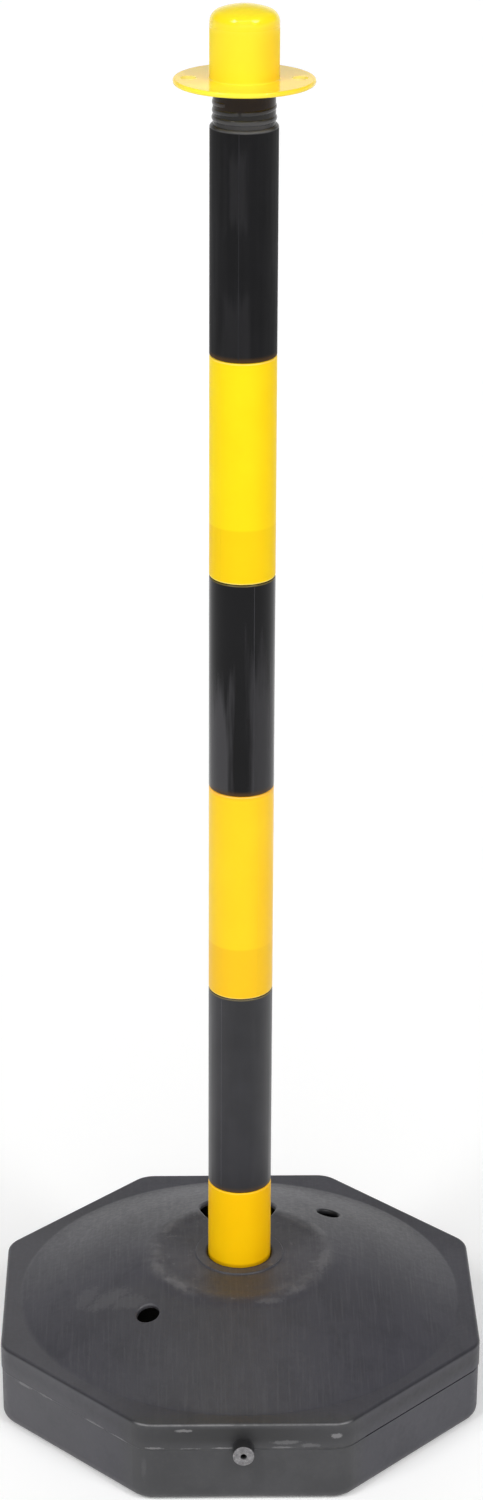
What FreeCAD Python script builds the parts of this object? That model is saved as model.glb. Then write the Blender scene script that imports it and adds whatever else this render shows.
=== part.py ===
import FreeCAD, Part
import math
import os

# Barrier post that carries a plastic chain: a hollow octagonal base that is filled with sand or water,
# six hollow tube sections screwed one on another, and a hat-shaped cap with two chain holes in its brim.
# Millimetres, +Z up. The origin is on the post's axis at the underside of the base, and the front is -Y.

# Post sections
tube_diameter = 40.0
tube_wall = 1.5
section_length = 137.5
section_count = 6
rim_radius = 0.9
shoulder_round = 1.4
shoulder_thickness = 2.0
shoulder_inner_round = 1.0
neck_length = 34.0
neck_wall = 2.0
neck_lip_radius = 0.8
thread_clearance = 0.3

# Cap
cap_wall = 1.65
cap_top_thickness = 2.0
crown_height = 42.5
crown_edge_radius = 8.5
crown_rise = 5.0
crown_bulge = 1.4
crown_curve = 40.0
crown_root_radius = 1.0
brim_diameter = 82.0
brim_thickness = 3.0
brim_edge_radius = 1.2
cap_engagement = 10.5
chain_hole_diameter = 9.5
chain_hole_offset = 32.0

# Base, outside
base_across_flats = 304.0
base_foot_across_flats = 302.4
base_corner_radius = 18.0
base_side_height = 56.0
base_edge_radius = 2.2
base_foot_radius = 8.0
base_wall = 3.0
parting_height = 39.0
parting_step = 0.5
groove_width = 1.4
groove_depth = 0.8

# Base, domed top
land_width = 10.0
dome_foot_blend = 4.0
dome_bulge = 1.8
dome_curve = 260.0
plateau_height = 86.0
bead_radius = 57.0
bead_half_width = 9.0
bead_height = 0.5
bead_crest_round = 25.0
bead_foot_round = 40.0
collar_width = 8.0
collar_height = 1.0
collar_round = 1.0
socket_clearance = 0.3
socket_mouth_round = 1.6

# Base, holes and blow stub
filler_diameter = 50.0
filler_distance = 60.0
filler_angle = 90.0
side_hole_diameter = 14.5
front_hole_distance = 84.0
front_hole_angle = 225.5
rear_hole_distance = 88.0
rear_hole_angle = 47.0
hole_edge_radius = 1.5
stub_diameter = 13.2
stub_reach = 9.0
stub_bore = 4.0
stub_edge_radius = 0.8

# Sizes that follow from the values above
bore_radius = tube_diameter / 2 - tube_wall
neck_radius = bore_radius - thread_clearance
crown_radius = bore_radius + cap_wall
socket_radius = tube_diameter / 2 + socket_clearance
post_foot = base_wall
top_shoulder = post_foot + section_count * section_length
brim_underside = top_shoulder + neck_length - cap_engagement
dome_foot_radius = base_across_flats / 2 - land_width
collar_top = plateau_height + collar_height

UP = FreeCAD.Vector(0, 0, 1)
ORIGIN = FreeCAD.Vector(0, 0, 0)
FULL_TURN = 360
OCTAGON_SIDES = 8
LARGEST_SHARE = 0.96
NEAR = 0.01


def rounded_wire(corners):
    """Closed wire through (point, radius) corners of one plane, each corner rounded to its radius.

    A rounding takes at most the whole of an edge beside it, or half if that edge's other end is round."""
    arcs = []
    for i, (point, radius) in enumerate(corners):
        neighbours = (corners[i - 1], corners[(i + 1) % len(corners)])
        back, ahead = [other - point for other, _ in neighbours]
        half_angle = back.getAngle(ahead) / 2
        reach = radius / math.tan(half_angle)
        for other, other_radius in neighbours:
            room = LARGEST_SHARE * (other - point).Length
            reach = min(reach, room / 2 if other_radius > 0 else room)
        back.normalize()
        ahead.normalize()
        middle = back + ahead
        middle.normalize()
        radius = reach * math.tan(half_angle)
        depth = radius / math.sin(half_angle) - radius
        arcs.append((point + back * reach, point + middle * depth, point + ahead * reach))
    edges = []
    for i, (start, middle, end) in enumerate(arcs):
        if (end - start).Length > 0:
            edges.append(Part.Arc(start, middle, end).toShape())
        edges.append(Part.LineSegment(end, arcs[(i + 1) % len(arcs)][0]).toShape())
    return Part.Wire(edges)


def revolved(corners):
    """Solid turned about the Z axis from (radius, height, rounding) corners."""
    wire = rounded_wire([(FreeCAD.Vector(r, 0, z), rounding) for r, z, rounding in corners])
    return Part.Face(wire).revolve(ORIGIN, UP, FULL_TURN)


def octagon(across_flats, corner_radius, z):
    """Rounded octagon at height z, with one flat towards the front."""
    half_side = math.pi / OCTAGON_SIDES
    reach = across_flats / 2 / math.cos(half_side)
    corners = []
    for k in range(OCTAGON_SIDES):
        angle = half_side * (2 * k + 1)
        point = FreeCAD.Vector(reach * math.cos(angle), reach * math.sin(angle), z)
        corners.append((point, corner_radius))
    return rounded_wire(corners)


def post_section(foot):
    """One tube section: open lower end, rounded shoulder and a hollow neck.

    The lower end of the next section stands on the level part of the shoulder, around the neck."""
    outer = tube_diameter / 2
    shoulder = foot + section_length
    neck_top = shoulder + neck_length
    return revolved([
        (bore_radius, foot, 0),
        (outer, foot, rim_radius),
        (outer, shoulder, shoulder_round),
        (neck_radius, shoulder, 0),
        (neck_radius, neck_top, neck_lip_radius),
        (neck_radius - neck_wall, neck_top, 0),
        (neck_radius - neck_wall, shoulder - shoulder_thickness, 0),
        (bore_radius, shoulder - shoulder_thickness, shoulder_inner_round),
    ])


def cap():
    """Hat-shaped cap: hollow domed crown on a round brim with a chain hole at either side."""
    brim_top = brim_underside + brim_thickness
    crown_top = brim_top + crown_height
    crown_edge = crown_top - crown_rise
    knee_z = (crown_top + crown_edge) / 2 + crown_bulge
    inner_edge_radius = crown_edge_radius - cap_wall
    hat = revolved([
        (bore_radius, brim_underside, 0),
        (brim_diameter / 2, brim_underside, brim_edge_radius),
        (brim_diameter / 2, brim_top, brim_edge_radius),
        (crown_radius, brim_top, crown_root_radius),
        (crown_radius, crown_edge, crown_edge_radius),
        (crown_radius / 2, knee_z, crown_curve),
        (0, crown_top, 0),
        (0, crown_top - cap_top_thickness, 0),
        (bore_radius / 2, knee_z - cap_top_thickness, crown_curve),
        (bore_radius, crown_edge - cap_top_thickness, inner_edge_radius),
    ])
    for side in (-1, 1):
        middle = FreeCAD.Vector(side * chain_hole_offset, 0, brim_underside - brim_thickness)
        hat = hat.cut(Part.makeCylinder(chain_hole_diameter / 2, 3 * brim_thickness, middle, UP))
    return hat


def dome_corners(drop):
    """Corners of the dome from its foot up to the bead, lowered by drop, and the slope at the bead."""
    crest_z = plateau_height + bead_height - drop
    foot_z = base_side_height - drop
    knee_r = (dome_foot_radius + bead_radius) / 2
    knee_z = (crest_z + foot_z) / 2 + dome_bulge
    corners = [
        (dome_foot_radius, foot_z, dome_foot_blend),
        (knee_r, knee_z, dome_curve),
        (bead_radius, crest_z, bead_crest_round),
    ]
    slope = math.atan2(crest_z - knee_z, knee_r - bead_radius)
    return corners, slope


def octagon_block(inset, bottom, top):
    """Side walls' form, moved inwards by inset: drafted below the mould line, upright above it."""
    corner_radius = base_corner_radius - inset
    draft = (base_across_flats - base_foot_across_flats) / 2 - parting_step
    foot = base_foot_across_flats - 2 * inset + 2 * draft * bottom / parting_height
    waist = base_across_flats - 2 * parting_step - 2 * inset
    skirt = Part.makeLoft([
        octagon(foot, corner_radius, bottom),
        octagon(waist, corner_radius, parting_height),
    ], True, True)
    band = Part.Face(octagon(base_across_flats - 2 * inset, corner_radius, parting_height))
    return skirt.fuse(band.extrude(UP * (top - parting_height)))


def parting_groove():
    """Fine groove of the mould line, in the side walls just below it."""
    waist = base_across_flats - 2 * parting_step
    bottom = parting_height - groove_width
    ring = Part.Face(octagon(base_across_flats + groove_depth, base_corner_radius, bottom))
    core = Part.Face(octagon(waist - 2 * groove_depth, base_corner_radius - groove_depth, bottom))
    return ring.cut(core).extrude(UP * groove_width)


def edges_at(shape, height, beyond):
    """Edges that lie level at a height, further than beyond from the axis."""
    found = []
    for edge in shape.Edges:
        ends = [vertex.Point for vertex in edge.Vertexes]
        level = all(abs(point.z - height) < Part.Precision.confusion() for point in ends)
        if level and all(math.hypot(point.x, point.y) > beyond for point in ends):
            found.append(edge)
    return found


def base_outside():
    """Solid form of the base with its dome, bead, collar and socket."""
    reach = base_across_flats
    dome, _ = dome_corners(0)
    collar_radius = socket_radius + collar_width
    lathe = revolved([
        (0, 0, 0),
        (reach, 0, 0),
        (reach, base_side_height, 0),
        *dome,
        (bead_radius - bead_half_width, plateau_height, bead_foot_round),
        (collar_radius, plateau_height, collar_round),
        (collar_radius, collar_top, collar_round),
        (socket_radius, collar_top, socket_mouth_round),
        (socket_radius, post_foot, 0),
        (0, post_foot, 0),
    ])
    form = octagon_block(0, 0, collar_top + base_wall).common(lathe)
    top_edges = edges_at(form, base_side_height, dome_foot_radius + land_width / 2)
    form = form.makeFillet(base_edge_radius, top_edges)
    return form.makeFillet(base_foot_radius, edges_at(form, 0, dome_foot_radius - land_width))


def base_inside():
    """Ballast space: the outside form moved inwards by one wall, around the socket's own wall."""
    reach = base_across_flats
    well_radius = socket_radius + base_wall
    dome, _ = dome_corners(base_wall)
    lathe = revolved([
        (well_radius, base_wall, 0),
        (reach, base_wall, 0),
        (reach, base_side_height - base_wall, 0),
        *dome,
        (bead_radius - bead_half_width, plateau_height - base_wall, bead_foot_round),
        (well_radius, plateau_height - base_wall, collar_round),
    ])
    space = octagon_block(base_wall, base_wall, collar_top).common(lathe)
    floor_edges = edges_at(space, base_wall, dome_foot_radius - land_width)
    return space.makeFillet(base_foot_radius - base_wall, floor_edges)


def with_hole(form, distance, angle, diameter):
    """The solid form with a round hole square to the dome's slope, its rim rounded.

    The hole lies at a distance and compass angle from the axis, and reaches down into the ballast space."""
    (_, _, crest), slope = dome_corners(0)
    height = crest[1] - (distance - crest[0]) * math.tan(slope)
    turn = math.radians(angle)
    outwards = FreeCAD.Vector(math.cos(turn), math.sin(turn), 0)
    axis = outwards * math.sin(slope) + UP * math.cos(slope)
    depth = base_wall + diameter * math.tan(slope)
    bottom = outwards * distance + UP * height - axis * depth
    form = form.cut(Part.makeCylinder(diameter / 2, 2 * depth, bottom, axis))

    def on_rim(point):
        from_axis = (point - bottom).cross(axis).Length
        above_bottom = (point - bottom).dot(axis)
        return abs(from_axis - diameter / 2) < NEAR and above_bottom > NEAR

    rim = [edge for edge in form.Edges if all(on_rim(point) for point in edge.discretize(3))]
    return form.makeFillet(hole_edge_radius, rim)


def blow_stub():
    """Short tube on the mould line at the front, cut off square, and the drill for its bore."""
    out = FreeCAD.Vector(0, -1, 0)
    face = base_across_flats / 2
    root = FreeCAD.Vector(0, base_wall / 2 - face, parting_height)
    stub = Part.makeCylinder(stub_diameter / 2, stub_reach + base_wall / 2, root, out)
    rim = [edge for edge in stub.Edges if edge.CenterOfMass.y < -face and not edge.isSeam(stub.Faces[0])]
    stub = stub.makeFillet(stub_edge_radius, rim)
    drill_start = FreeCAD.Vector(0, 2 * base_wall - face, parting_height)
    drill = Part.makeCylinder(stub_bore / 2, 2 * base_wall + 2 * stub_reach, drill_start, out)
    return stub, drill


def base():
    """The base: one hollow moulding with its holes and blow stub."""
    stub, stub_drill = blow_stub()
    form = base_outside().cut(parting_groove())
    form = with_hole(form, filler_distance, filler_angle, filler_diameter)
    form = with_hole(form, front_hole_distance, front_hole_angle, side_hole_diameter)
    form = with_hole(form, rear_hole_distance, rear_hole_angle, side_hole_diameter)
    return form.cut(base_inside()).fuse(stub).cut(stub_drill).removeSplitter()


def pieces():
    """Every piece of the post by name."""
    named = {"base": base(), "cap": cap()}
    for k in range(section_count):
        named[f"post_section_{k + 1}"] = post_section(post_foot + k * section_length)
    return named


os.makedirs("parts", exist_ok=True)
for name, shape in pieces().items():
    shape.exportStep(f"parts/{name}.step")
    print(name, shape.ShapeType, len(shape.Solids), shape.isValid(), round(shape.Volume), shape.BoundBox)
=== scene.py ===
import math

import bmesh
import bpy
from mathutils import Matrix, Vector, noise


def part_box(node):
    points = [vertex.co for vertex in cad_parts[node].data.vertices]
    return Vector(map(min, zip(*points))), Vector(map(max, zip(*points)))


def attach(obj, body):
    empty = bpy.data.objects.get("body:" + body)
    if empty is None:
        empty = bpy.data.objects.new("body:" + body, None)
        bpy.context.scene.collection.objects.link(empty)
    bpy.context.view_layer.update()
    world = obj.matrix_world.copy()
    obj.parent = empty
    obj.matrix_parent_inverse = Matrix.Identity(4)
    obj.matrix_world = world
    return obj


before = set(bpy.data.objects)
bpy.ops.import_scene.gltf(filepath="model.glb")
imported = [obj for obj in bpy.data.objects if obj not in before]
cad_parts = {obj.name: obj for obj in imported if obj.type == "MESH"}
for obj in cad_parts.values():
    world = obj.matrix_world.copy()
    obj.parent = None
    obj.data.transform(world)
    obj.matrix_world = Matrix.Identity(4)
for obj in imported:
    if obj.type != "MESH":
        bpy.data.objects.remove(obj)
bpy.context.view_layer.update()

# Looks of a chain barrier post: yellow and black tube sections on a dark grey octagonal base.
# Metres, +Z up, the origin on the post's axis at the underside of the base, the front towards -Y.

MM = 0.001


def colour(red, green, blue):
    """Colour as a node takes it, with full alpha."""
    return (red, green, blue, 1)


# Camera, fitted to the photo's frame of 483 by 1500 pixels
PHOTO_HEIGHT = 1500
FOCAL_PIXELS = 3624.2
PRINCIPAL_ROW = 620
SENSOR = 36.0
CAMERA_SIDE = -0.35 * MM
CAMERA_DISTANCE = 2037.8 * MM
CAMERA_HEIGHT = 1308.9 * MM
CAMERA_PITCH = math.radians(21.08)
CAMERA_ROLL = math.radians(0.25)
CAMERA_TURN = math.radians(-1.12)

# Room light: its level by the sine of the elevation, dimmed high up at the left and right
HORIZON_LEVEL = 1.12
ZENITH_LEVEL = 0.26
BRIGHT_SINE = 0.12
DIM_SINE = 0.66
SIDE_REACH = (0.40, 0.80)
SIDE_SINE = (0.08, 0.28)
SIDE_SHADE = 0.8

# Brighter strip of the room light, in front and high up
STRIP_LEVEL = 4.0
STRIP_SINE = 0.80
STRIP_HEIGHT = 0.09
STRIP_REACH = 0.42
STRIP_FRONT = (0.1, -0.1)

# Lamps: azimuth from the front, elevation and size in degrees, and strength
LAMPS = {
    "lamp_left": (-46, 45, 20, 1.24),
    "lamp_right": (44, 45, 20, 1.13),
    "lamp_fill": (0, 20, 60, 0.32),
}

# Floor
FLOOR_RADIUS = 40.0
FLOOR_SIDES = 64
FLOOR_COLOUR = colour(0.93, 0.93, 0.93)
FLOOR_GLOW = colour(1, 1, 1)
FLOOR_LIFT = 0.15

# Places on the post, read from the frame
SECTIONS = [f"post_section_{k}" for k in range(1, 7)]
LOWEST_SECTION = SECTIONS[0]
TOP_SECTION = SECTIONS[-1]
FOOT = {name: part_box(name)[0].z for name in SECTIONS}
NECK_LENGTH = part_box(LOWEST_SECTION)[1].z - FOOT[SECTIONS[1]]
TUBE_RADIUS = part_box(LOWEST_SECTION)[1].x
TOP_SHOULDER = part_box(TOP_SECTION)[1].z - NECK_LENGTH
SHOULDER = {name: FOOT[above] for name, above in zip(SECTIONS, SECTIONS[1:])}
SHOULDER[TOP_SECTION] = TOP_SHOULDER

# Cap
BRIM_THICKNESS = 3 * MM
BRIM_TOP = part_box("cap")[0].z + BRIM_THICKNESS
CROWN_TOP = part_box("cap")[1].z
HOLE_OFFSET = 32 * MM
HOLE_RADIUS = 4.75 * MM

# Bead and thread on the bare neck
NECK_RADIUS = 18.2 * MM
NECK_BEAD = 831.9 * MM
BEAD_SHARE = 1.4
THREAD_PITCH = 4.7 * MM
THREAD_FRONT = 837.3 * MM
THREAD_END = 841.5 * MM
THREAD_HEIGHT = 0.45 * MM
THREAD_WIDTH = 2.8 * MM
THREAD_GAP = math.radians(3)
THREAD_STEP = math.radians(2.5)
THREAD_TAPER = math.radians(14)
THREAD_HALF_TURNS = range(-2, 9)
RIDGE_STEPS = 10
RIDGE_LOWEST = 0.02
RIDGE_NARROWEST = 0.55
SUNK = 0.25 * MM
FRONT = math.radians(270)

# Mould lines along the tube sections, as the angle of the one nearer the front
MOULD_ANGLE = {
    "post_section_1": math.radians(0),
    "post_section_2": math.radians(233),
    "post_section_3": math.radians(301),
    "post_section_4": math.radians(290.5),
    "post_section_5": math.radians(228),
    "post_section_6": math.radians(260.5),
}
SEAM_WIDTH = 0.7 * MM
SEAM_CREST = 1 / 3
SEAM_HEIGHT = 0.10 * MM
SEAM_MARGIN = 1.6 * MM
SEAM_STEPS = 60
SEAM_MEAN = 0.65
SEAM_SWING = 0.5
SEAM_WAVE = 12 * MM

# Base
HALF_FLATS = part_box("base")[1].x
CORNER_RADIUS = 18 * MM
PARTING = 39 * MM
PARTING_STEP = 0.5 * MM
GROOVE_DEPTH = 0.8 * MM
SIDE_TOP = 56 * MM
PLATEAU = 86 * MM
COLLAR_TOP = 87 * MM
DOME_FOOT = HALF_FLATS - 10 * MM
RING_RADIUS = 57 * MM
SOCKET_WALL = 24 * MM
STUB_END = -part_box("base")[0].y
REAR_HOLE = (60.0 * MM, 64.4 * MM, 0)
REAR_HOLE_RADIUS = 7.25 * MM
OCTAGON_SIDES = 8
SIDE_STEPS = 90
CORNER_STEPS = 14

# Flash in the groove of the base's mould line
FLASH_DEPTH = 2.2 * MM
FLASH_ANGLE = math.radians(237)
FLASH_REACH = math.radians(62)
FLASH_WAVE = 9 * MM
FLASH_NOISE = (0.6, 2.0, 4)
FLASH_FILL = 0.5
FLASH_END = 0.25
FLASH_PROUD = 0.9
FLASH_UNEVEN = 0.25
FLASH_SHOULDER = 0.6
FLASH_LIFT = SUNK / 5


# Short forms for node trees. The tuples further on hold what between, near or grain takes after its value.

MIX_FACTOR, MIX_FIRST, MIX_SECOND, MIX_RESULT = 0, 6, 7, 2
FLAT = (1, 1, 0)


def node(tree, kind, inputs=None, **settings):
    """A new node with its settings, and its inputs set to values or linked to sockets."""
    made = tree.nodes.new("ShaderNode" + kind)
    for key, value in settings.items():
        setattr(made, key, value)
    for key, value in (inputs or {}).items():
        if isinstance(value, bpy.types.NodeSocket):
            tree.links.new(value, made.inputs[key])
        else:
            made.inputs[key].default_value = value
    return made


def maths(tree, operation, first, second=0.0):
    """Result of one operation on two numbers or sockets."""
    return node(tree, "Math", {0: first, 1: second}, operation=operation).outputs[0]


def product(tree, first, *others):
    """Product of numbers or sockets."""
    for other in others:
        first = maths(tree, "MULTIPLY", first, other)
    return first


def between(tree, value, low, high, start=0.0, end=1.0):
    """Smooth step of a value from low to high, from start to end."""
    inputs = {"Value": value, "From Min": low, "From Max": high, "To Min": start, "To Max": end}
    return node(tree, "MapRange", inputs, interpolation_type="SMOOTHSTEP").outputs[0]


def near(tree, value, centre, reach):
    """1 where a value is at the centre, falling smoothly to 0 at reach from it."""
    return between(tree, maths(tree, "ABSOLUTE", maths(tree, "SUBTRACT", value, centre)), reach, 0.0)


def mixed(tree, factor, first, second, blend="MIX"):
    """Colour between two colours or sockets."""
    inputs = {MIX_FACTOR: factor, MIX_FIRST: first, MIX_SECOND: second}
    return node(tree, "Mix", inputs, data_type="RGBA", blend_type=blend).outputs[MIX_RESULT]


def scaled(tree, position, scale):
    """Position with each axis multiplied by its own scale."""
    return node(tree, "VectorMath", {0: position, 1: scale}, operation="MULTIPLY").outputs[0]


def length(tree, vector):
    return node(tree, "VectorMath", {0: vector}, operation="LENGTH").outputs["Value"]


def grain(tree, position, scale, detail=3.0, roughness=0.5):
    """Noise of the position, about 0 to 1."""
    inputs = {"Vector": position, "Scale": scale, "Detail": detail, "Roughness": roughness}
    return node(tree, "TexNoise", inputs).outputs[0]


def toned(tint, shares):
    """A tint with each channel multiplied by its share."""
    return colour(*(channel * share for channel, share in zip(tint, shares)))


def new_material(name):
    """An empty material: its node tree, its shader and the position on the part, split up too."""
    made = bpy.data.materials.new(name)
    made.use_nodes = True
    tree = made.node_tree
    shader = tree.nodes["Principled BSDF"]
    position = node(tree, "TexCoord").outputs["Object"]
    axes = node(tree, "SeparateXYZ", {0: position}).outputs
    return made, tree, shader, position, axes


def bump(tree, shader, height, distance):
    """Fine relief of the surface, distance being its depth."""
    relief = node(tree, "Bump", {"Height": height, "Strength": 1.0, "Distance": distance})
    tree.links.new(relief.outputs[0], shader.inputs["Normal"])


def dress(piece, material):
    piece.data.materials.clear()
    piece.data.materials.append(material)


# Lines along the rounded edges at the joints, as distances from the foot and from the shoulder
RIM_LINE = 0.6 * MM
SHOULDER_LINE = 0.8 * MM
LINE_REACH = 0.6 * MM
JOINT_EDGE = 0.4 * MM
TUBE_RELIEF = 0.03 * MM


def rim_line(tree, axes, section):
    """1 on the rounded lower rim of a tube section."""
    return near(tree, axes[2], FOOT[section] + RIM_LINE, LINE_REACH)


def shoulder_line(tree, axes, section):
    """1 on the rounded shoulder of a tube section."""
    return near(tree, axes[2], SHOULDER[section] - SHOULDER_LINE, LINE_REACH)


# Yellow plastic: tint and reflection by node, then shares of the tint by channel
# The tints go paler and more lemon up the post to the cap, and deeper orange down it: painted light and
# shade, for more light high up than low down.
YELLOW = {
    "cap": ((0.97, 0.76, 0.018), 0.33),
    "post_section_5": ((0.96, 0.71, 0.009), 0.05),
    "post_section_3": ((0.96, 0.625, 0.007), 0.22),
    "post_section_1": ((0.96, 0.56, 0.003), 0.05),
}
DEEP_SHARES = (0.985, 0.955, 0.8)
INSIDE_SHARES = (0.94, 0.84, 0.7)
# Shares for the painted shade at the top, then the paler green and blue of the painted highlights on the
# rounded edges
TOP_SHADE_SHARES = (1, 0.76, 2)
HIGHLIGHT_GREEN = 1.18
HIGHLIGHT_BLUE = 30
# Painted shade: deeper orange towards the right of the sections and of the crown's wall, where less light
# falls
SECTION_RIGHT_SHADE = colour(1.0, 0.93, 0.8)
CAP_RIGHT_SHADE = colour(1.0, 0.87, 0.7)
FOOT_SHADE = colour(0.40, 0.18, 0.002)
YELLOW_GLOW = 0.2
YELLOW_DEPTH = (1.0, 0.7, 0.2)
YELLOW_CLOUD = (22.0, 2.0)
YELLOW_CLOUD_STEP = (0.35, 0.7)
YELLOW_STREAKS = (260.0, 4.0)
YELLOW_STRETCH = (1.0, 1.0, 0.06)
YELLOW_STREAK_STEP = (0.55, 0.85, 0.0, 0.25)
RIGHT_SIDE = (2 * MM, 18 * MM)

# Yellow tube sections: the neck that shows through, the painted shade at the socket, and the joints, with
# painted highlights on the rounded edges and painted shade under the black sections
WITH_NECK_INSIDE = ("post_section_3", "post_section_5")
NECK_SWING = 0.8 * MM
NECK_OVER = 1.2 * MM
NECK_UNDER = 0.6 * MM
SOCKET_SHADE = 0.6
SOCKET_REACH = 2.2 * MM
# Strengths of the painted highlights on the rim and the shoulder, then reach and strengths of the painted
# shade at the top
YELLOW_RIM_HIGHLIGHT = 0.7
YELLOW_SHOULDER_HIGHLIGHT = 0.4
TOP_SHADE = 3.5 * MM
TOP_SHADE_STRENGTH = {"post_section_5": 0.3, "post_section_3": 0.9, "post_section_1": 0.0}
YELLOW_GLOSS_NOISE = (70.0,)
YELLOW_GLOSS_STEP = (0.3, 0.75, 0.30, 0.38)

# Cap: brim, walls of the chain holes, and crown
# Painted light on the brim: a paler front as the crown's painted reflection, deeper orange elsewhere as
# painted shade with bounced orange light, and a painted glow on the walls of the chain holes
BRIM_BOUNCE_ORANGE = colour(1.0, 0.70, 0.02)
BRIM_FRONT_REFLECTION = colour(1.0, 0.83, 0.045)
HOLE_GLOW_YELLOW = colour(1.0, 0.84, 0.20)
HOLE_BLEND = 0.3 * MM
BRIM_BLEND = 0.6 * MM
OFF_FRONT = (-26 * MM, -8 * MM)
CROWN_SHADE_SPAN = (CROWN_TOP - 6 * MM, CROWN_TOP - 12 * MM)
BRIM_ROUGHNESS = 0.10
WALL_ROUGHNESS = 0.62
BRIM_TO_WALL = (BRIM_TOP - 0.1 * MM, BRIM_TOP + 0.8 * MM, BRIM_ROUGHNESS, WALL_ROUGHNESS)
TOP_SMOOTHER = (CROWN_TOP - 16 * MM, CROWN_TOP - 10 * MM, 0.0, 0.50)


def cap_gloss(tree, axes):
    """Roughness of the cap: a polished brim, a softer wall and a glossy top."""
    off_brim = between(tree, axes[2], *BRIM_TO_WALL)
    return maths(tree, "SUBTRACT", off_brim, between(tree, axes[2], *TOP_SMOOTHER))


def chain_hole_wall(tree, position):
    """1 on the walls of the two chain holes, where the paler colour is a painted glow of light shining
    through the thin brim.
    """
    mirrored = node(tree, "VectorMath", {0: position}, operation="ABSOLUTE").outputs[0]
    hole = (HOLE_OFFSET, 0, 0)
    from_hole = node(tree, "VectorMath", {0: mirrored, 1: hole}, operation="SUBTRACT").outputs[0]
    radius = length(tree, scaled(tree, from_hole, FLAT))
    return between(tree, radius, HOLE_RADIUS + HOLE_BLEND, HOLE_RADIUS)


def cap_yellow(tree, position, axes, tone):
    """Colour of the cap: a paler front of the brim as a painted reflection of the crown, painted shade
    deeper at the right of the crown's wall, painted shade with bounced orange light on the rest of the brim,
    and a painted glow in the chain holes.
    """
    # Painted reflection of the crown in the front of the brim
    on_brim = between(tree, axes[2], BRIM_TOP + BRIM_BLEND, BRIM_TOP)
    tone = mixed(tree, on_brim, tone, BRIM_FRONT_REFLECTION)
    # Painted shade, deeper orange at the right of the crown's wall
    right = between(tree, axes[0], *RIGHT_SIDE)
    below_top = between(tree, axes[2], *CROWN_SHADE_SPAN)
    tone = mixed(tree, product(tree, right, below_top), tone, CAP_RIGHT_SHADE, "MULTIPLY")
    # Painted shade with bounced orange light on the brim away from the front
    off_front = between(tree, axes[1], *OFF_FRONT)
    tone = mixed(tree, product(tree, on_brim, off_front), tone, BRIM_BOUNCE_ORANGE)
    # Painted glow on the walls of the chain holes
    return mixed(tree, chain_hole_wall(tree, position), tone, HOLE_GLOW_YELLOW)


def section_yellow(tree, axes, tone, tint, cloud, section):
    """Colour of one yellow tube section.

    The dark neck inside shows through the foot. Paler rounded edges are painted highlights, deeper orange at
    the right is painted shade, the lowest section has painted shade at the socket, and the top has painted
    shade below the black section above."""
    # Painted shade, deeper orange towards the right
    tone = mixed(tree, between(tree, axes[0], *RIGHT_SIDE), tone, SECTION_RIGHT_SHADE, "MULTIPLY")
    if section in WITH_NECK_INSIDE:
        neck_end = FOOT[section] + NECK_LENGTH
        uneven = maths(tree, "ADD", axes[2], product(tree, cloud, NECK_SWING))
        inside = between(tree, uneven, neck_end + NECK_OVER, neck_end - NECK_UNDER)
        tone = mixed(tree, inside, tone, toned(tint, INSIDE_SHARES))
    if section == LOWEST_SECTION:
        # Painted shade at the socket
        at_socket = near(tree, axes[2], COLLAR_TOP, SOCKET_REACH)
        tone = mixed(tree, product(tree, at_socket, SOCKET_SHADE), tone, FOOT_SHADE)
    # Painted highlight on the rounded rim
    rim = product(tree, rim_line(tree, axes, section), YELLOW_RIM_HIGHLIGHT)
    tone = mixed(tree, rim, tone, colour(1.0, tint[1] * HIGHLIGHT_GREEN, tint[2] * HIGHLIGHT_BLUE))
    top = SHOULDER[section]
    # Painted shade at the top, below the black section above
    painted_top_shade = between(tree, axes[2], top - TOP_SHADE, top - JOINT_EDGE, 0.0, TOP_SHADE_STRENGTH[section])
    tone = mixed(tree, painted_top_shade, tone, toned(tint, TOP_SHADE_SHARES))
    # Painted highlight on the rounded shoulder
    shoulder = product(tree, shoulder_line(tree, axes, section), YELLOW_SHOULDER_HIGHLIGHT)
    return mixed(tree, shoulder, tone, colour(1.0, tint[1], tint[2] * HIGHLIGHT_BLUE))


def yellow_plastic(name, tint, specular, section=None):
    """Glossy yellow plastic with faint flow streaks, for one tube section or for the cap."""
    made, tree, shader, position, axes = new_material(name)
    streaks = grain(tree, scaled(tree, position, YELLOW_STRETCH), *YELLOW_STREAKS)
    cloud = grain(tree, position, *YELLOW_CLOUD)
    deep = toned(tint, DEEP_SHARES)
    tone = mixed(tree, between(tree, cloud, *YELLOW_CLOUD_STEP), deep, colour(*tint))
    tone = mixed(tree, between(tree, streaks, *YELLOW_STREAK_STEP), tone, deep)
    if section:
        tone = section_yellow(tree, axes, tone, tint, cloud, section)
        gloss = between(tree, grain(tree, position, *YELLOW_GLOSS_NOISE), *YELLOW_GLOSS_STEP)
    else:
        tone = cap_yellow(tree, position, axes, tone)
        gloss = cap_gloss(tree, axes)
    tree.links.new(tone, shader.inputs["Base Color"])
    tree.links.new(gloss, shader.inputs["Roughness"])
    shader.inputs["Specular IOR Level"].default_value = specular
    shader.inputs["Subsurface Weight"].default_value = YELLOW_GLOW
    shader.inputs["Subsurface Radius"].default_value = YELLOW_DEPTH
    shader.inputs["Subsurface Scale"].default_value = MM
    bump(tree, shader, maths(tree, "ADD", streaks, cloud), TUBE_RELIEF)
    return made


# Black plastic: tone, reflection and roughness by node, of the mould lines on it, and of the thread
BLACK = {
    "post_section_6": (0.0032, 0.17, 0.60),
    "post_section_4": (0.0025, 0.19, 0.20),
    "post_section_2": (0.012, 0.45, 0.33),
}
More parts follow.
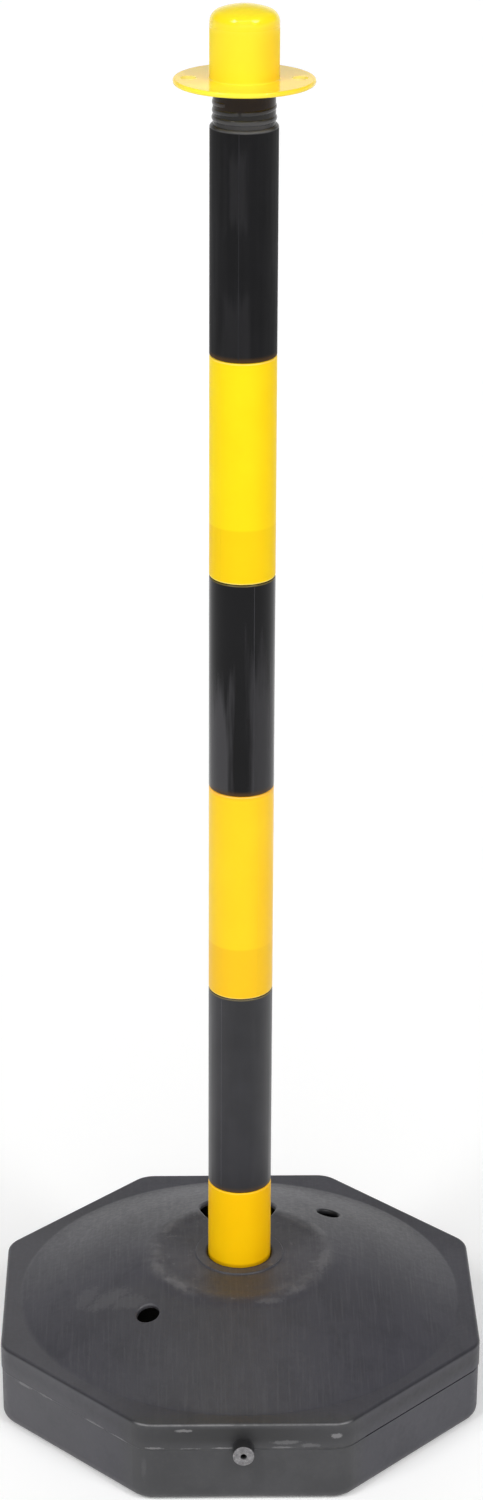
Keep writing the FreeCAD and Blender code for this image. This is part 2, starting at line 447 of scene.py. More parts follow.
# Mould lines on the black sections: tone, reflection and roughness; the lighter tone is a painted highlight
# along the raised line
SEAM_SHEEN_AND_GLOSS = {
    "post_section_6": (0.010, 0.22, 0.55),
    "post_section_4": (0.012, 0.4, 0.34),
    "post_section_2": (0.03, 0.5, 0.34),
}
BARE_NECK = "bare_neck"
THREAD_FINISH = (0.013, 0.42, 0.19, BARE_NECK)
LIGHT_SHARES = (1.5, 1.47, 1.85)
DARK_SHARES = (0.8, 0.79, 1.0)
RUB_SHARES = (3, 3, 3.1)
BLACK_CLOUD = (30.0, 3.0)
BLACK_CLOUD_STEP = (0.3, 0.75)
BLACK_STREAKS = (300.0, 5.0)
BLACK_STRETCH = (1.0, 1.0, 0.05)
RUB_NOISE = (420.0, 6.0, 0.65)
RUB_STRETCH = (1.0, 1.0, 0.25)
RUB_STEP = (0.66, 0.8, 0.0, 0.5)
GLOSS_STREAKS = (0.3, 0.7)
GLOSSIER = 0.05
DULLER = 0.07

# Joints of the black sections: painted reflections of the yellow beside them, brown on the foot and olive on
# the shoulder
RIM_REFLECTION = colour(0.075, 0.036, 0.006)
RIM_REFLECTION_REACH = 4.0 * MM
RIM_REFLECTION_STRENGTH = 0.85
SHOULDER_REFLECTION = colour(0.17, 0.135, 0.04)
SHOULDER_REFLECTION_SPOTS = (0.3, 0.6, 0.5, 0.9)

# Bare neck and the shoulder under it, with painted shadow under the brim and painted highlights at the front
NECK_ROUGHNESS = 0.19
# Painted shadow of the brim, brown with light bounced off it; the grey of the neck; and a painted highlight
# at the front of its foot
NECK_SHADE = colour(0.018, 0.010, 0.005)
NECK_TONE = colour(0.028, 0.0272, 0.0276)
NECK_HIGHLIGHT = colour(0.066, 0.0642, 0.066)
NECK_LIT = (839.2 * MM, 836.8 * MM)
NECK_LOW = (NECK_BEAD + 1.8 * MM, NECK_BEAD + 0.6 * MM)
NECK_SPOTS = (0.3, 0.6, 0.7, 1.0)
NECK_FROM = TOP_SHOULDER - 1 * MM
NECK_BLEND = 1 * MM
# Painted highlight at the front of the shoulder, its spots and reach, and the span at the front that the
# painted highlights take
NECK_SHOULDER_HIGHLIGHT = colour(0.14, 0.14, 0.145)
SHOULDER_SPOTS = (0.3, 0.6, 0.2, 0.6)
SHOULDER_REACH = 1.2 * MM
LIT_FRONT_SPAN = (-9.5 * MM, -15.5 * MM)

# Smudges and painted sheen on the black sections, lighter patches that partly paint reflections on the
# glossy tube: place across and above the foot and half sizes in millimetres, and strength
SHEEN_SMUDGES = {
    "post_section_6": (((-4.5, 103), (6.5, 26), 0.14), ((-5, 18), (9, 26), 0.12)),
    "post_section_4": (((-17, 2), (11.5, 78), 0.76), ((18, 5), (15.5, 98), 0.5)),
    "post_section_2": (((-12, 95), (9, 60), 0.05), ((14, 60), (8, 70), 0.08)),
}
SHEEN_SMUDGE_TONE = colour(0.055, 0.0535, 0.058)
SHEEN_SMUDGE_MEAN = 0.5
SHEEN_SMUDGE_RAGGED = 1.2
SHEEN_SMUDGE_EDGE = (1.05, 0.5)


def sheen_smudged(tree, position, streaks, section):
    """How far the listed smudges and painted sheen cover a black section, 0 to 1, with streaky edges."""
    ragged = product(tree, maths(tree, "SUBTRACT", streaks, SHEEN_SMUDGE_MEAN), SHEEN_SMUDGE_RAGGED)
    covered = 0.0
    for (across, up), (half_width, half_height), strength in SHEEN_SMUDGES[section]:
        local = node(tree, "Mapping", {
            "Vector": position,
            "Location": (across * MM, 0, FOOT[section] + up * MM),
            "Scale": (half_width * MM, 1.0, half_height * MM),
        }, vector_type="TEXTURE").outputs[0]
        aside, _, along = node(tree, "SeparateXYZ", {0: local}).outputs
        aside = maths(tree, "ABSOLUTE", aside)
        along = maths(tree, "ABSOLUTE", along)
        reach = maths(tree, "ADD", maths(tree, "MAXIMUM", aside, along), ragged)
        mark = between(tree, reach, *SHEEN_SMUDGE_EDGE, 0.0, strength)
        covered = maths(tree, "MAXIMUM", covered, mark)
    return covered


def lit_front(tree, axes):
    """1 at the front of the neck and its shoulder, where the painted highlights go."""
    return between(tree, axes[1], *LIT_FRONT_SPAN)


def neck_tone(tree, axes):
    """Colour of the bare neck and its thread: painted shadow of the brim at the top, brown with light
    bounced off the brim, and a painted highlight at the front of the foot.
    """
    lit = between(tree, axes[2], *NECK_LIT)
    painted_highlight = product(tree, between(tree, axes[2], *NECK_LOW), lit_front(tree, axes))
    return mixed(tree, painted_highlight, mixed(tree, lit, NECK_SHADE, NECK_TONE), NECK_HIGHLIGHT)


def on_neck(tree, axes):
    """1 on the bare neck of the topmost section."""
    return between(tree, axes[2], NECK_FROM - NECK_BLEND, NECK_FROM)


def neck_black(tree, axes, body, cloud):
    """Colour of the topmost section, with its bare neck and a painted highlight at the front of its
    shoulder.
    """
    bare = product(tree, on_neck(tree, axes), between(tree, cloud, *NECK_SPOTS))
    body = mixed(tree, bare, body, neck_tone(tree, axes))
    at_shoulder = near(tree, axes[2], NECK_FROM, SHOULDER_REACH)
    painted_highlight = product(tree, at_shoulder, between(tree, cloud, *SHOULDER_SPOTS), lit_front(tree, axes))
    return mixed(tree, painted_highlight, body, NECK_SHOULDER_HIGHLIGHT)


def section_black(tree, position, axes, body, streaks, cloud, section):
    """Colour of one black tube section, with smudges and painted sheen, and painted reflections of the
    yellow at its joints.
    """
    # Smudges and painted sheen
    body = mixed(tree, sheen_smudged(tree, position, streaks, section), body, SHEEN_SMUDGE_TONE)
    foot = FOOT[section]
    # Painted reflection of the yellow below, brown on the foot
    lit_foot = between(tree, axes[2], foot + RIM_REFLECTION_REACH, foot + JOINT_EDGE, 0.0, RIM_REFLECTION_STRENGTH)
    body = mixed(tree, lit_foot, body, RIM_REFLECTION)
    if section == TOP_SECTION:
        return neck_black(tree, axes, body, cloud)
    # Painted reflection of the yellow above, olive on the shoulder
    yellow_reflection = product(tree, shoulder_line(tree, axes, section), between(tree, cloud, *SHOULDER_REFLECTION_SPOTS))
    return mixed(tree, yellow_reflection, body, SHOULDER_REFLECTION)


def black_plastic(name, tone, specular, roughness, section=None):
    """Satin black plastic with flow streaks along the tube and fine marks.

    The section is a tube section, the bare neck for its thread, or none for a mould line."""
    made, tree, shader, position, axes = new_material(name)
    grey = (tone, tone, tone)
    streaks = grain(tree, scaled(tree, position, BLACK_STRETCH), *BLACK_STREAKS)
    cloud = grain(tree, position, *BLACK_CLOUD)
    clouded = between(tree, cloud, *BLACK_CLOUD_STEP)
    body = mixed(tree, clouded, toned(grey, DARK_SHARES), toned(grey, LIGHT_SHARES))
    rub = grain(tree, scaled(tree, position, RUB_STRETCH), *RUB_NOISE)
    body = mixed(tree, between(tree, rub, *RUB_STEP), body, toned(grey, RUB_SHARES))
    gloss = between(tree, streaks, *GLOSS_STREAKS, roughness - GLOSSIER, roughness + DULLER)
    if section == BARE_NECK:
        body = mixed(tree, between(tree, cloud, *NECK_SPOTS), body, neck_tone(tree, axes))
    elif section:
        body = section_black(tree, position, axes, body, streaks, cloud, section)
    if section == TOP_SECTION:
        smoother = product(tree, on_neck(tree, axes), roughness - NECK_ROUGHNESS)
        gloss = maths(tree, "SUBTRACT", gloss, smoother)
    tree.links.new(body, shader.inputs["Base Color"])
    tree.links.new(gloss, shader.inputs["Roughness"])
    shader.inputs["Specular IOR Level"].default_value = specular
    bump(tree, shader, maths(tree, "ADD", streaks, cloud), TUBE_RELIEF)
    return made


# Base plastic: greys, noises and their steps
BASE_DARK = colour(0.033, 0.0322, 0.041)
BASE_LIGHT = colour(0.042, 0.041, 0.052)
BASE_SPECKS = colour(0.062, 0.061, 0.070)
BASE_MOTTLE = colour(0.026, 0.0255, 0.033)
BASE_WORN = colour(0.15, 0.148, 0.152)
BASE_CLOUD = (14.0, 3.0)
BASE_CLOUD_STEP = (0.3, 0.7)
SPECKLE = (320.0, 4.0, 0.6)
SPECKLE_STEP = (0.45, 0.8, 0.0, 0.4)
MOTTLE = (48.0, 6.0, 0.7)
MOTTLE_STEP = (0.55, 0.35, 0.0, 0.5)
TOOL_MARKS = (700.0, 5.0, 0.7)
TOOL_MARK_STRETCH = (1.0, 0.04, 0.04)
TOOL_MARK_STEP = (0.46, 0.70, 0.0, 0.6)
PATCHES = (70.0, 6.0, 0.65)
PATCH_STEP = (0.36, 0.66, 0.15, 1.0)
ON_TOP = (SIDE_TOP - 2 * MM, SIDE_TOP + 2 * MM)
BASE_GLOSS = (0.3, 0.75, 0.42, 0.54)
BASE_RELIEF = 0.04 * MM
TOOL_RELIEF = 1.2

# Wear round the post, less of it right in front
RING_WEAR = 0.3
RING_WEAR_RADIUS = RING_RADIUS - 1 * MM
RING_WEAR_REACH = 9 * MM
PLATEAU_WEAR = (RING_RADIUS + 8 * MM, RING_RADIUS - 6 * MM, 0.0, 0.13)
AHEAD = (-18 * MM, -40 * MM)
CLEAN_REACH = 42 * MM
CLEAN_SHARE = 0.2
FLECKS = (190.0, 5.0, 0.6)
FLECK_STEP = (0.62, 0.70, 0.0, 0.3)
FLECK_RADIUS = (RING_RADIUS + 6 * MM, RING_RADIUS)

# Tones of the base: painted shade in the socket's mouth, the front, the dome in front of the post and the
# dusty left
MOUTH = (TUBE_RADIUS + 2.8 * MM, TUBE_RADIUS + 1.2 * MM, 0.0, 0.9)
MOUTH_SHADE = colour(0.004, 0.003, 0.003)
TOWARDS_FRONT = (-135 * MM, -150 * MM)
FRONT_TINT = colour(1.0, 1.03, 0.88)
FRONT_DOME_ACROSS = (-22 * MM, 130 * MM)
FRONT_DOME_RADIUS = (58 * MM, 70 * MM, 0.0, 0.27)
FRONT_DOME_TONE = colour(0.086, 0.0855, 0.081)
OFF_DOME = (DOME_FOOT - 3 * MM, DOME_FOOT + 1 * MM)
DUSTY_LEFT = (-40 * MM, -140 * MM, 0.0, 0.19)

# Upper half of the sides and their upper edge: painted shade on the upper half, more to the right and in a
# band at the front, a painted dark reflection along the upper edge off the front, and a painted highlight
# along the front's upper edge
UPPER_SIDE = ((PARTING + SIDE_TOP) / 2, (SIDE_TOP - PARTING) / 2)
UPPER_RIGHT = (20 * MM, 120 * MM, 0.3, 0.75)
UPPER_SHADE = colour(0.020, 0.0196, 0.024)
AT_FRONT = (-146 * MM, -150 * MM)
BAND_TOP = (SIDE_TOP - 1 * MM, SIDE_TOP - 4 * MM)
BAND_FOOT = (PARTING + 0.5 * MM, PARTING + 7 * MM)
BAND_ACROSS = (-4 * MM, 85 * MM)
BAND_STRENGTH = 0.78
BAND_SHADE = colour(0.010, 0.0098, 0.0104)
SIDE_EDGE = (SIDE_TOP - 0.9 * MM, 1.0 * MM)
SIDE_EDGE_STRENGTH = 0.7
SIDE_EDGE_DARK_REFLECTION = colour(0.010, 0.0098, 0.012)
SIDE_EDGE_GLOSS = 0.12
FRONT_EDGE = (SIDE_TOP - 0.7 * MM, 0.7 * MM)
FRONT_EDGE_HIGHLIGHT = (0.1, 0.8, 0.22, 0.58)
# Light grey of the scuffs, also used for the painted highlight along the front's upper edge
SCUFF_AND_HIGHLIGHT_TONE = colour(0.24, 0.237, 0.242)

# Dust inside the base, painted shade in the rear hole and its rubbed edge, and the cut end of the stub
INSIDE_TONE = colour(0.17, 0.16, 0.15)
BELOW_ROOF = (1.4 * MM, 2.2 * MM)
ABOVE_FLOOR = (1 * MM, 2 * MM)
OFF_SOCKET = (SOCKET_WALL - 2 * MM, SOCKET_WALL - 1 * MM)
WITHIN_WALLS = (HALF_FLATS - 2 * MM, HALF_FLATS - 3 * MM)
HOLE_WALL = (REAR_HOLE_RADIUS + 0.7 * MM, REAR_HOLE_RADIUS + 0.1 * MM, 0.0, 0.9)
HOLE_SHADE = colour(0.006, 0.006, 0.007)
HOLE_EDGE = (REAR_HOLE_RADIUS + 2 * MM, 1.4 * MM)
HOLE_EDGE_WEAR = 0.2
STUB_CUT = (1.2 * MM - STUB_END, 0.4 * MM - STUB_END)
CUT_MARKS = (500.0, 4.0, 0.7)
CUT_MARK_STEP = (0.35, 0.65)
CUT_DARK = colour(0.115, 0.112, 0.117)
CUT_LIGHT = colour(0.235, 0.229, 0.235)

# Scuffs on the base, and a painted highlight on the front-left corner: place, direction in degrees and half
# sizes in millimetres, and strength
SCUFFS_AND_HIGHLIGHT = (
    ((-36.9, -152, 51.8), 0, (8, 1.5), 0.7),
    ((57.3, -152, 47.5), 0, (5.8, 2.8), 0.75),
    ((26, -152, 43.2), 4, (15, 2.2), 0.35),
    ((41, -152, 41.0), 3, (9, 2.4), 0.3),
    ((25, -152, 39.5), 0, (12, 1.2), 0.45),
    ((-12, -152, 39.2), 0, (12, 1.1), 0.7),
    ((-32, -152, 38.9), 0, (10, 1.0), 0.45),
    ((-57, -152, 39.4), 0, (11, 1.2), 0.65),
    # Painted highlight down the front-left corner
    ((-61, -151, 24), 0, (2.2, 13), 0.1),
    ((-136.6, -77.9, 37.0), -45, (10, 1.6), 0.6),
    ((-123.4, -91.1, 37.6), -45, (12, 1.3), 0.5),
    ((-91.4, -123.1, 38.4), -45, (13, 1.5), 0.55),
    ((-75.7, -138.8, 38.2), -45, (10, 1.3), 0.5),
    ((-86, -39.5, 76), 20, (28, 11), 0.15),
    ((-72, -46, 78), -10, (22, 10), 0.13),
    ((-98, -31, 72), 60, (18, 10), 0.12),
    ((19, -58, 86), 8, (14, 4), 0.2),
    ((36, -46, 86), 38, (12, 4), 0.14),
    ((54, -10, 86), 80, (24, 5), 0.24),
    ((52, 28, 86), 118, (16, 5), 0.18),
    ((-41, -38, 86), -45, (16, 5), 0.2),
    ((-53, -18, 86), -72, (14, 5), 0.18),
    ((-46, 30, 86), -110, (12, 4), 0.18),
)
MARK_NOISE = (340.0, 6.0, 0.7)
MARK_RAGGED = 1.6
MARK_EDGE = (1.62, 1.18)
MARK_STRENGTH = 0.75


def scuff_and_highlight_cover(tree, position):
    """How far the listed scuffs and the painted corner highlight cover the surface, 0 to 1."""
    ragged = product(tree, grain(tree, position, *MARK_NOISE), MARK_RAGGED)
    covered = 0.0
    for place, turn, (half_length, half_width), strength in SCUFFS_AND_HIGHLIGHT:
        local = node(tree, "Mapping", {
            "Vector": position,
            "Location": [c * MM for c in place],
            "Rotation": (0, 0, math.radians(turn)),
            "Scale": (half_length * MM, half_width * MM, half_width * MM),
        }, vector_type="TEXTURE").outputs[0]
        reach = maths(tree, "ADD", length(tree, local), ragged)
        mark = between(tree, reach, *MARK_EDGE, 0.0, strength)
        covered = maths(tree, "MAXIMUM", covered, mark)
    return covered


def inside_base(tree, radius, height):
    """1 on the dusty walls of the ballast space, clear of the socket and of the outside."""
    slope = (PLATEAU - SIDE_TOP) / (DOME_FOOT - RING_RADIUS)
    cone = product(tree, maths(tree, "SUBTRACT", DOME_FOOT, radius), slope)
    roof = maths(tree, "MINIMUM", maths(tree, "ADD", cone, SIDE_TOP), PLATEAU)
    below_roof = between(tree, maths(tree, "SUBTRACT", roof, height), *BELOW_ROOF)
    above_floor = between(tree, height, *ABOVE_FLOOR)
    off_socket = between(tree, radius, *OFF_SOCKET)
    within_walls = between(tree, radius, *WITHIN_WALLS)
    return product(tree, below_roof, above_floor, off_socket, within_walls)


def base_grain(tree, position, speckle, tool_marks):
    """Clouded grey of the base, with specks, mottle and tool marks."""
    cloud = between(tree, grain(tree, position, *BASE_CLOUD), *BASE_CLOUD_STEP)
    body = mixed(tree, cloud, BASE_DARK, BASE_LIGHT)
    body = mixed(tree, between(tree, speckle, *SPECKLE_STEP), body, BASE_SPECKS)
    mottle = between(tree, grain(tree, position, *MOTTLE), *MOTTLE_STEP)
    body = mixed(tree, mottle, body, BASE_MOTTLE)
    return mixed(tree, tool_marks, body, BASE_SPECKS)


def base_wear(tree, position, axes, radius, on_top, patches, body):
    """Wear on the ring and the plateau round the post."""
    ring = product(tree, near(tree, radius, RING_WEAR_RADIUS, RING_WEAR_REACH), RING_WEAR)
    plateau = between(tree, radius, *PLATEAU_WEAR)
    clean = product(tree, between(tree, axes[1], *AHEAD), near(tree, axes[0], 0, CLEAN_REACH))
    kept = between(tree, clean, 0.0, 1.0, 1.0, CLEAN_SHARE)
    rubbed = product(tree, maths(tree, "ADD", ring, plateau), patches, kept, on_top)
    body = mixed(tree, rubbed, body, BASE_WORN)
    flecks = between(tree, grain(tree, position, *FLECKS), *FLECK_STEP)
    flecks = product(tree, flecks, between(tree, radius, *FLECK_RADIUS), on_top)
    return mixed(tree, flecks, body, BASE_WORN)


def base_shades(tree, axes, radius, on_top, body):
    """Painted shade in the socket's mouth, the tint of the front, the paler dome in front and the dusty
    left.
    """
    # Painted shade in the socket's mouth
    body = mixed(tree, between(tree, radius, *MOUTH), body, MOUTH_SHADE)
    body = mixed(tree, between(tree, axes[1], *TOWARDS_FRONT), body, FRONT_TINT, "MULTIPLY")
    front_dome = product(tree, between(tree, axes[1], *AHEAD), near(tree, axes[0], *FRONT_DOME_ACROSS))
    front_dome = product(tree, front_dome, between(tree, radius, *FRONT_DOME_RADIUS), on_top)
    body = mixed(tree, front_dome, body, FRONT_DOME_TONE)
    dusty = product(tree, between(tree, axes[0], *DUSTY_LEFT), between(tree, radius, *OFF_DOME))
    return mixed(tree, dusty, body, BASE_WORN)


def base_sides(tree, axes, at_front, side_edge, patches, body):
    """Painted shade on the upper half of the sides and on a band at the front, a painted dark reflection
    along their upper edge off the front, and a painted highlight along it at the front.
    """
    upper = product(tree, near(tree, axes[2], *UPPER_SIDE), between(tree, axes[0], *UPPER_RIGHT))
    # Painted shade on the upper half, more of it towards the right
    body = mixed(tree, upper, body, UPPER_SHADE)
    band = product(tree, between(tree, axes[2], *BAND_TOP), between(tree, axes[2], *BAND_FOOT))
    band = product(tree, band, at_front, near(tree, axes[0], *BAND_ACROSS), BAND_STRENGTH)
    # Painted shade in a band at the front
    body = mixed(tree, band, body, BAND_SHADE)
    # Painted dark reflection along the upper edge off the front
    body = mixed(tree, product(tree, side_edge, SIDE_EDGE_STRENGTH), body, SIDE_EDGE_DARK_REFLECTION)
    # Painted highlight along the front's upper edge
    front_edge = product(tree, near(tree, axes[2], *FRONT_EDGE), at_front)
    edge_highlight = product(tree, front_edge, between(tree, patches, *FRONT_EDGE_HIGHLIGHT))
    return mixed(tree, edge_highlight, body, SCUFF_AND_HIGHLIGHT_TONE)


def base_openings(tree, position, flat, axes, radius, body):
    """The dusty inside, painted shade on the wall of the rear hole and its rubbed edge, and the cut end of
    the stub.
    """
    body = mixed(tree, inside_base(tree, radius, axes[2]), body, INSIDE_TONE)
    from_hole = node(tree, "VectorMath", {0: flat, 1: REAR_HOLE}, operation="DISTANCE").outputs["Value"]
    # Painted shade on the wall of the rear hole
    body = mixed(tree, between(tree, from_hole, *HOLE_WALL), body, HOLE_SHADE)
    hole_edge = product(tree, near(tree, from_hole, *HOLE_EDGE), HOLE_EDGE_WEAR)
    body = mixed(tree, hole_edge, body, BASE_WORN)
    cut_marks = between(tree, grain(tree, position, *CUT_MARKS), *CUT_MARK_STEP)
    cut_tone = mixed(tree, cut_marks, CUT_DARK, CUT_LIGHT)
    return mixed(tree, between(tree, axes[1], *STUB_CUT), body, cut_tone)


def base_plastic():
    """Scuffed dark grey plastic of the base."""
    made, tree, shader, position, axes = new_material("base_plastic")
    flat = scaled(tree, position, FLAT)
    radius = length(tree, flat)
    on_top = between(tree, axes[2], *ON_TOP)
    speckle = grain(tree, position, *SPECKLE)
    tool_marks = grain(tree, scaled(tree, position, TOOL_MARK_STRETCH), *TOOL_MARKS)
    patches = between(tree, grain(tree, position, *PATCHES), *PATCH_STEP)
    at_front = between(tree, axes[1], *AT_FRONT)
    off_front = maths(tree, "SUBTRACT", 1.0, at_front)
    side_edge = product(tree, near(tree, axes[2], *SIDE_EDGE), off_front)

    marks_on_top = product(tree, between(tree, tool_marks, *TOOL_MARK_STEP), on_top)
    body = base_grain(tree, position, speckle, marks_on_top)
    body = base_wear(tree, position, axes, radius, on_top, patches, body)
    body = base_shades(tree, axes, radius, on_top, body)
    body = base_sides(tree, axes, at_front, side_edge, patches, body)
    # Scuffs and the painted corner highlight
    body = mixed(tree, product(tree, scuff_and_highlight_cover(tree, position), MARK_STRENGTH), body, SCUFF_AND_HIGHLIGHT_TONE)
    body = base_openings(tree, position, flat, axes, radius, body)
    tree.links.new(body, shader.inputs["Base Color"])

    gloss = between(tree, speckle, *BASE_GLOSS)
    gloss = maths(tree, "SUBTRACT", gloss, product(tree, side_edge, SIDE_EDGE_GLOSS))
    tree.links.new(gloss, shader.inputs["Roughness"])
    relief = product(tree, tool_marks, on_top, TOOL_RELIEF)
    bump(tree, shader, maths(tree, "ADD", relief, speckle), BASE_RELIEF)
    return made


# Pieces

def swept(name, rings, loop=False):
    """Closed mesh through rings of points. The ends are capped, unless the rings go round in a loop."""
    shape = bmesh.new()
    rows = [[shape.verts.new(point) for point in ring] for ring in rings]
    pairs = list(zip(rows, rows[1:]))
    if loop:
        pairs.append((rows[-1], rows[0]))
    else:
        shape.faces.new(rows[0])
        shape.faces.new(rows[-1])
    for row, following in pairs:
        for j in range(len(row)):
            k = (j + 1) % len(row)
            shape.faces.new((row[j], row[k], following[k], following[j]))
    bmesh.ops.recalc_face_normals(shape, faces=shape.faces)
    mesh = bpy.data.meshes.new(name)
    shape.to_mesh(mesh)
    shape.free()
    mesh.shade_smooth()
    piece = bpy.data.objects.new(name, mesh)
    bpy.context.scene.collection.objects.link(piece)
    return piece


def joined(name, pieces):
    """The pieces as one object."""
    shape = bmesh.new()
    for piece in pieces:
        shape.from_mesh(piece.data)
    whole = pieces[0]
    shape.to_mesh(whole.data)
    shape.free()
    for piece in pieces[1:]:
        bpy.data.objects.remove(piece)
    whole.name = name
    return whole


def round_the_axis(angle, radius, z):
    return Vector((radius * math.cos(angle), radius * math.sin(angle), z))


def raised(z):
    return Vector((0, 0, z))


def ridge_section(angle, middle, share):
    """Section of a rounded ridge on the neck, as large as its share of the full ridge."""
    height = max(RIDGE_LOWEST, share) * THREAD_HEIGHT
    width = (RIDGE_NARROWEST + (1 - RIDGE_NARROWEST) * share) * THREAD_WIDTH
    ring = [round_the_axis(angle, NECK_RADIUS - SUNK, middle - width / 2)]
    for j in range(RIDGE_STEPS + 1):
        across = 2 * j / RIDGE_STEPS - 1
        up = 1 - across ** 2
        ring.append(round_the_axis(angle, NECK_RADIUS + up * height, middle + across * width / 2))
    ring.append(round_the_axis(angle, NECK_RADIUS - SUNK, middle + width / 2))
    return ring


def neck_bead():
    """Level bead round the foot of the neck."""
    steps = round(math.tau / THREAD_STEP)
    rings = [ridge_section(math.tau * i / steps, NECK_BEAD, BEAD_SHARE) for i in range(steps)]
    return swept("neck_bead", rings, loop=True)


def thread_run(start, end):
    """Thread ridge from one mould line to the next, its ends rounded off."""
    rings = []
    steps = max(2, round((end - start) / THREAD_STEP))
    for i in range(steps + 1):
        angle = start + (end - start) * i / steps
        to_end = min(angle - start, end - angle) / THREAD_TAPER
        share = math.sqrt(1 - (1 - min(1.0, to_end)) ** 2)
        middle = THREAD_FRONT + THREAD_PITCH * (angle - FRONT) / math.tau
        rings.append(ridge_section(angle, middle, share))
    return swept("thread_run", rings)


def thread_angle(height):
    """Angle at which the thread reaches a height."""
    return FRONT + (height - THREAD_FRONT) / THREAD_PITCH * math.tau


def neck_thread():
    """Bead and thread on the bare neck, the thread in half turns that stop short of the mould lines."""
    first = thread_angle(NECK_BEAD + THREAD_WIDTH)
    last = thread_angle(THREAD_END)
    runs = [neck_bead()]
    for half_turn in THREAD_HALF_TURNS:
        seam = MOULD_ANGLE[TOP_SECTION] + half_turn * math.pi
        start = max(first, seam + THREAD_GAP / 2)
        end = min(last, seam + math.pi - THREAD_GAP / 2)
        if end - start > 2 * THREAD_STEP:
            runs.append(thread_run(start, end))
    return joined("neck_thread", runs)


def mould_seam(name):
    """The fine raised mould line down both sides of one tube section."""
    low = FOOT[name] + SEAM_MARGIN
    high = SHOULDER[name] - SEAM_MARGIN
    half = SEAM_WIDTH / 2 / TUBE_RADIUS
    sides = []
    for turn in (0, math.pi):
        angle = MOULD_ANGLE[name] + turn
        rings = []
        for i in range(SEAM_STEPS + 1):
            z = low + (high - low) * i / SEAM_STEPS
            height = SEAM_HEIGHT * (SEAM_MEAN + SEAM_SWING * noise.noise((turn, angle, z / SEAM_WAVE)))
            if i in (0, SEAM_STEPS):
                height = 0.0
            rings.append([
                round_the_axis(angle - half, TUBE_RADIUS - SEAM_HEIGHT, z),
                round_the_axis(angle - half * SEAM_CREST, TUBE_RADIUS + height, z),
                round_the_axis(angle + half * SEAM_CREST, TUBE_RADIUS + height, z),
                round_the_axis(angle + half, TUBE_RADIUS - SEAM_HEIGHT, z),
            ])
        sides.append(swept("side", rings))
    return joined("mould_seam_" + name.removeprefix("post_section_"), sides)


def octagon_outline():
    """Points round the base's rounded octagon, each with its outward direction."""
    eighth = math.tau / OCTAGON_SIDES
    half_straight = (HALF_FLATS - CORNER_RADIUS) * math.tan(eighth / 2)
    to_corner = (HALF_FLATS - CORNER_RADIUS) / math.cos(eighth / 2)
    outline = []
    for k in range(OCTAGON_SIDES):
        facing = k * eighth
        out = round_the_axis(facing, 1.0, 0)
        along = Vector((-out.y, out.x, 0))
        for i in range(SIDE_STEPS):
            shift = half_straight * (2 * i / SIDE_STEPS - 1)
            outline.append((out * HALF_FLATS + along * shift, out))
        middle = round_the_axis(facing + eighth / 2, to_corner, 0)
        for i in range(CORNER_STEPS):
            out = round_the_axis(facing + eighth * i / CORNER_STEPS, 1.0, 0)
            outline.append((middle + out * CORNER_RADIUS, out))
    return outline


def parting_flash():
    """Uneven flash that fills the mould line's groove at the front and left of the base."""
    rings = []
    for place, out in octagon_outline():
        aside = abs(math.atan2(place.y, place.x) % math.tau - FLASH_ANGLE) / FLASH_REACH
        if aside > 1:
            continue
        rough = (1 + noise.fractal(place / FLASH_WAVE, *FLASH_NOISE)) / 2
        share = min(1.0, max(0.0, rough + FLASH_FILL)) * min(1.0, (1 - aside) / FLASH_END)
        face = place - out * PARTING_STEP
        back = face - out * (GROOVE_DEPTH + SUNK)
        proud = face + out * (FLASH_PROUD * PARTING_STEP * share - GROOVE_DEPTH * (1 - share))
        drop = FLASH_DEPTH * (1 - FLASH_UNEVEN + FLASH_UNEVEN * rough)
        rings.append([
            back + raised(PARTING + SUNK),
            proud + raised(PARTING + FLASH_LIFT),
            proud + (face - proud) * FLASH_SHOULDER + raised(PARTING - drop / 2),
            face - out * SUNK + raised(PARTING - drop),
            back + raised(PARTING - drop),
        ])
    return swept("parting_flash", rings)


# Looks of the frame's nodes, and the pieces added to them

finish = {"base": base_plastic()}
for name, values in YELLOW.items():
    finish[name] = yellow_plastic("yellow_" + name, *values, None if name == "cap" else name)
for name, values in BLACK.items():
    finish[name] = black_plastic("black_" + name, *values, name)
for name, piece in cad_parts.items():
    dress(piece, finish[name])

thread = neck_thread()
dress(thread, black_plastic("black_thread", *THREAD_FINISH))
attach(thread, "post")
for name in SECTIONS:
    seam = mould_seam(name)
    dress(seam, finish[name] if name in YELLOW else black_plastic("seam_" + name, *SEAM_SHEEN_AND_GLOSS[name]))
    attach(seam, "post")
flash = parting_flash()
dress(flash, finish["base"])
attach(flash, "post")


# Floor, light and camera

def floor():
    """Plain pale floor."""
    shape = bmesh.new()
    bmesh.ops.create_circle(shape, cap_ends=True, radius=FLOOR_RADIUS, segments=FLOOR_SIDES)
    mesh = bpy.data.meshes.new("floor")
    shape.to_mesh(mesh)
    shape.free()
    made = bpy.data.objects.new("floor", mesh)
    bpy.context.scene.collection.objects.link(made)
    material = bpy.data.materials.new("floor")
    material.use_nodes = True
    tree = material.node_tree
    shader = tree.nodes["Principled BSDF"]
    shader.inputs["Base Color"].default_value = FLOOR_COLOUR
    shader.inputs["Roughness"].default_value = 1.0
    shader.inputs["Specular IOR Level"].default_value = 0.0
    path = node(tree, "LightPath").outputs
    seen = maths(tree, "MAXIMUM", path["Is Camera Ray"], path["Is Glossy Ray"])
    seen = maths(tree, "MAXIMUM", seen, path["Is Transmission Ray"])
    shader.inputs["Emission Color"].default_value = FLOOR_GLOW
    tree.links.new(product(tree, seen, FLOOR_LIFT), shader.inputs["Emission Strength"])
    dress(made, material)


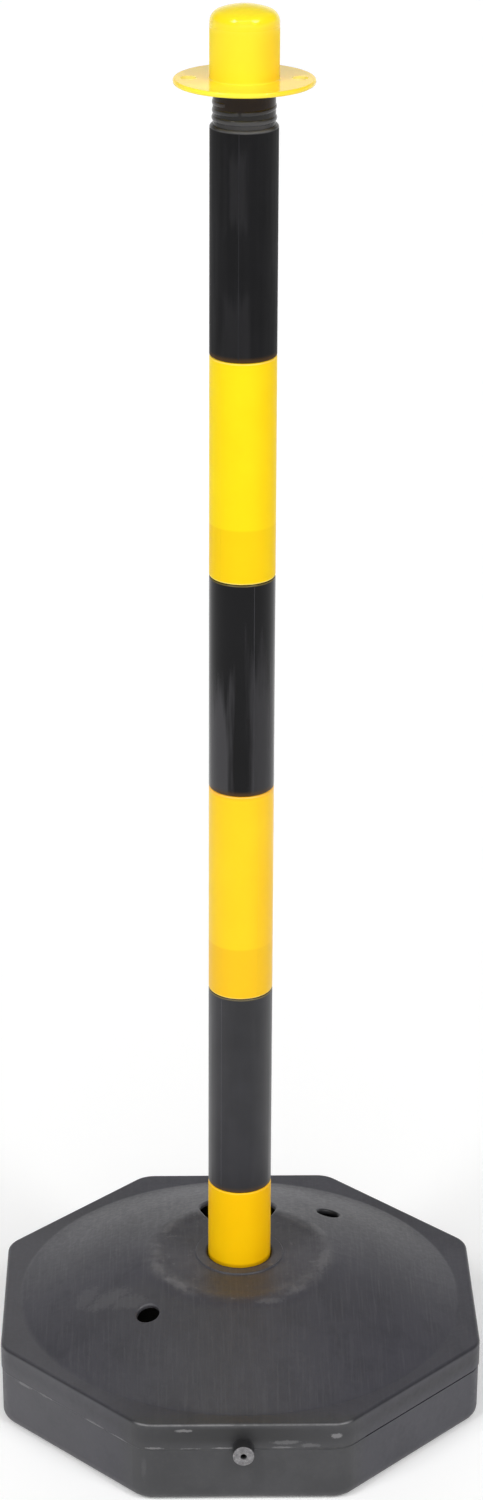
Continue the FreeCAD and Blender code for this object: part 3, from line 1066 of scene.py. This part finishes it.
def sky():
    """Soft room light: bright low down and in a strip, dim overhead and high up at the left and right."""
    world = bpy.data.worlds.new("studio")
    world.use_nodes = True
    tree = world.node_tree
    direction = node(tree, "TexCoord").outputs["Generated"]
    axes = node(tree, "SeparateXYZ", {0: direction}).outputs
    level = between(tree, axes[2], BRIGHT_SINE, DIM_SINE, HORIZON_LEVEL, ZENITH_LEVEL)
    sideways = between(tree, maths(tree, "ABSOLUTE", axes[0]), *SIDE_REACH)
    high_up = between(tree, axes[2], *SIDE_SINE, 0.0, SIDE_SHADE)
    left_over = maths(tree, "SUBTRACT", 1.0, product(tree, sideways, high_up))
    strip = product(tree, near(tree, axes[2], STRIP_SINE, STRIP_HEIGHT), near(tree, axes[0], 0, STRIP_REACH))
    strip = product(tree, strip, between(tree, axes[1], *STRIP_FRONT, 0.0, STRIP_LEVEL))
    level = maths(tree, "ADD", product(tree, level, left_over), strip)
    tree.links.new(level, tree.nodes["Background"].inputs["Color"])
    bpy.context.scene.world = world


def lamp(name, azimuth, elevation, size, strength):
    """One wide soft lamp far away, its azimuth counted from the front."""
    light = bpy.data.lights.new(name, "SUN")
    light.energy = strength
    light.angle = math.radians(size)
    made = bpy.data.objects.new(name, light)
    bpy.context.scene.collection.objects.link(made)
    around = math.radians(azimuth)
    up = math.radians(elevation)
    towards = Vector((math.sin(around) * math.cos(up), -math.cos(around) * math.cos(up), math.sin(up)))
    made.rotation_euler = towards.to_track_quat("Z", "Y").to_euler()


def camera():
    """Camera at the photo's place, with its lens and framing."""
    lens = bpy.data.cameras.new("camera")
    lens.sensor_width = SENSOR
    lens.lens = FOCAL_PIXELS * SENSOR / PHOTO_HEIGHT
    lens.shift_y = (PRINCIPAL_ROW - PHOTO_HEIGHT / 2) / PHOTO_HEIGHT
    made = bpy.data.objects.new("camera", lens)
    bpy.context.scene.collection.objects.link(made)
    place = Matrix.Translation((CAMERA_SIDE, -CAMERA_DISTANCE, CAMERA_HEIGHT))
    aim = Matrix.Rotation(math.pi / 2 - CAMERA_PITCH, 4, "X") @ Matrix.Rotation(CAMERA_ROLL, 4, "Z")
    made.matrix_world = Matrix.Rotation(CAMERA_TURN, 4, "Z") @ place @ aim
    bpy.context.scene.camera = made


floor()
sky()
for name, setting in LAMPS.items():
    lamp(name, *setting)
camera()
bpy.context.scene.view_settings.view_transform = "Standard"
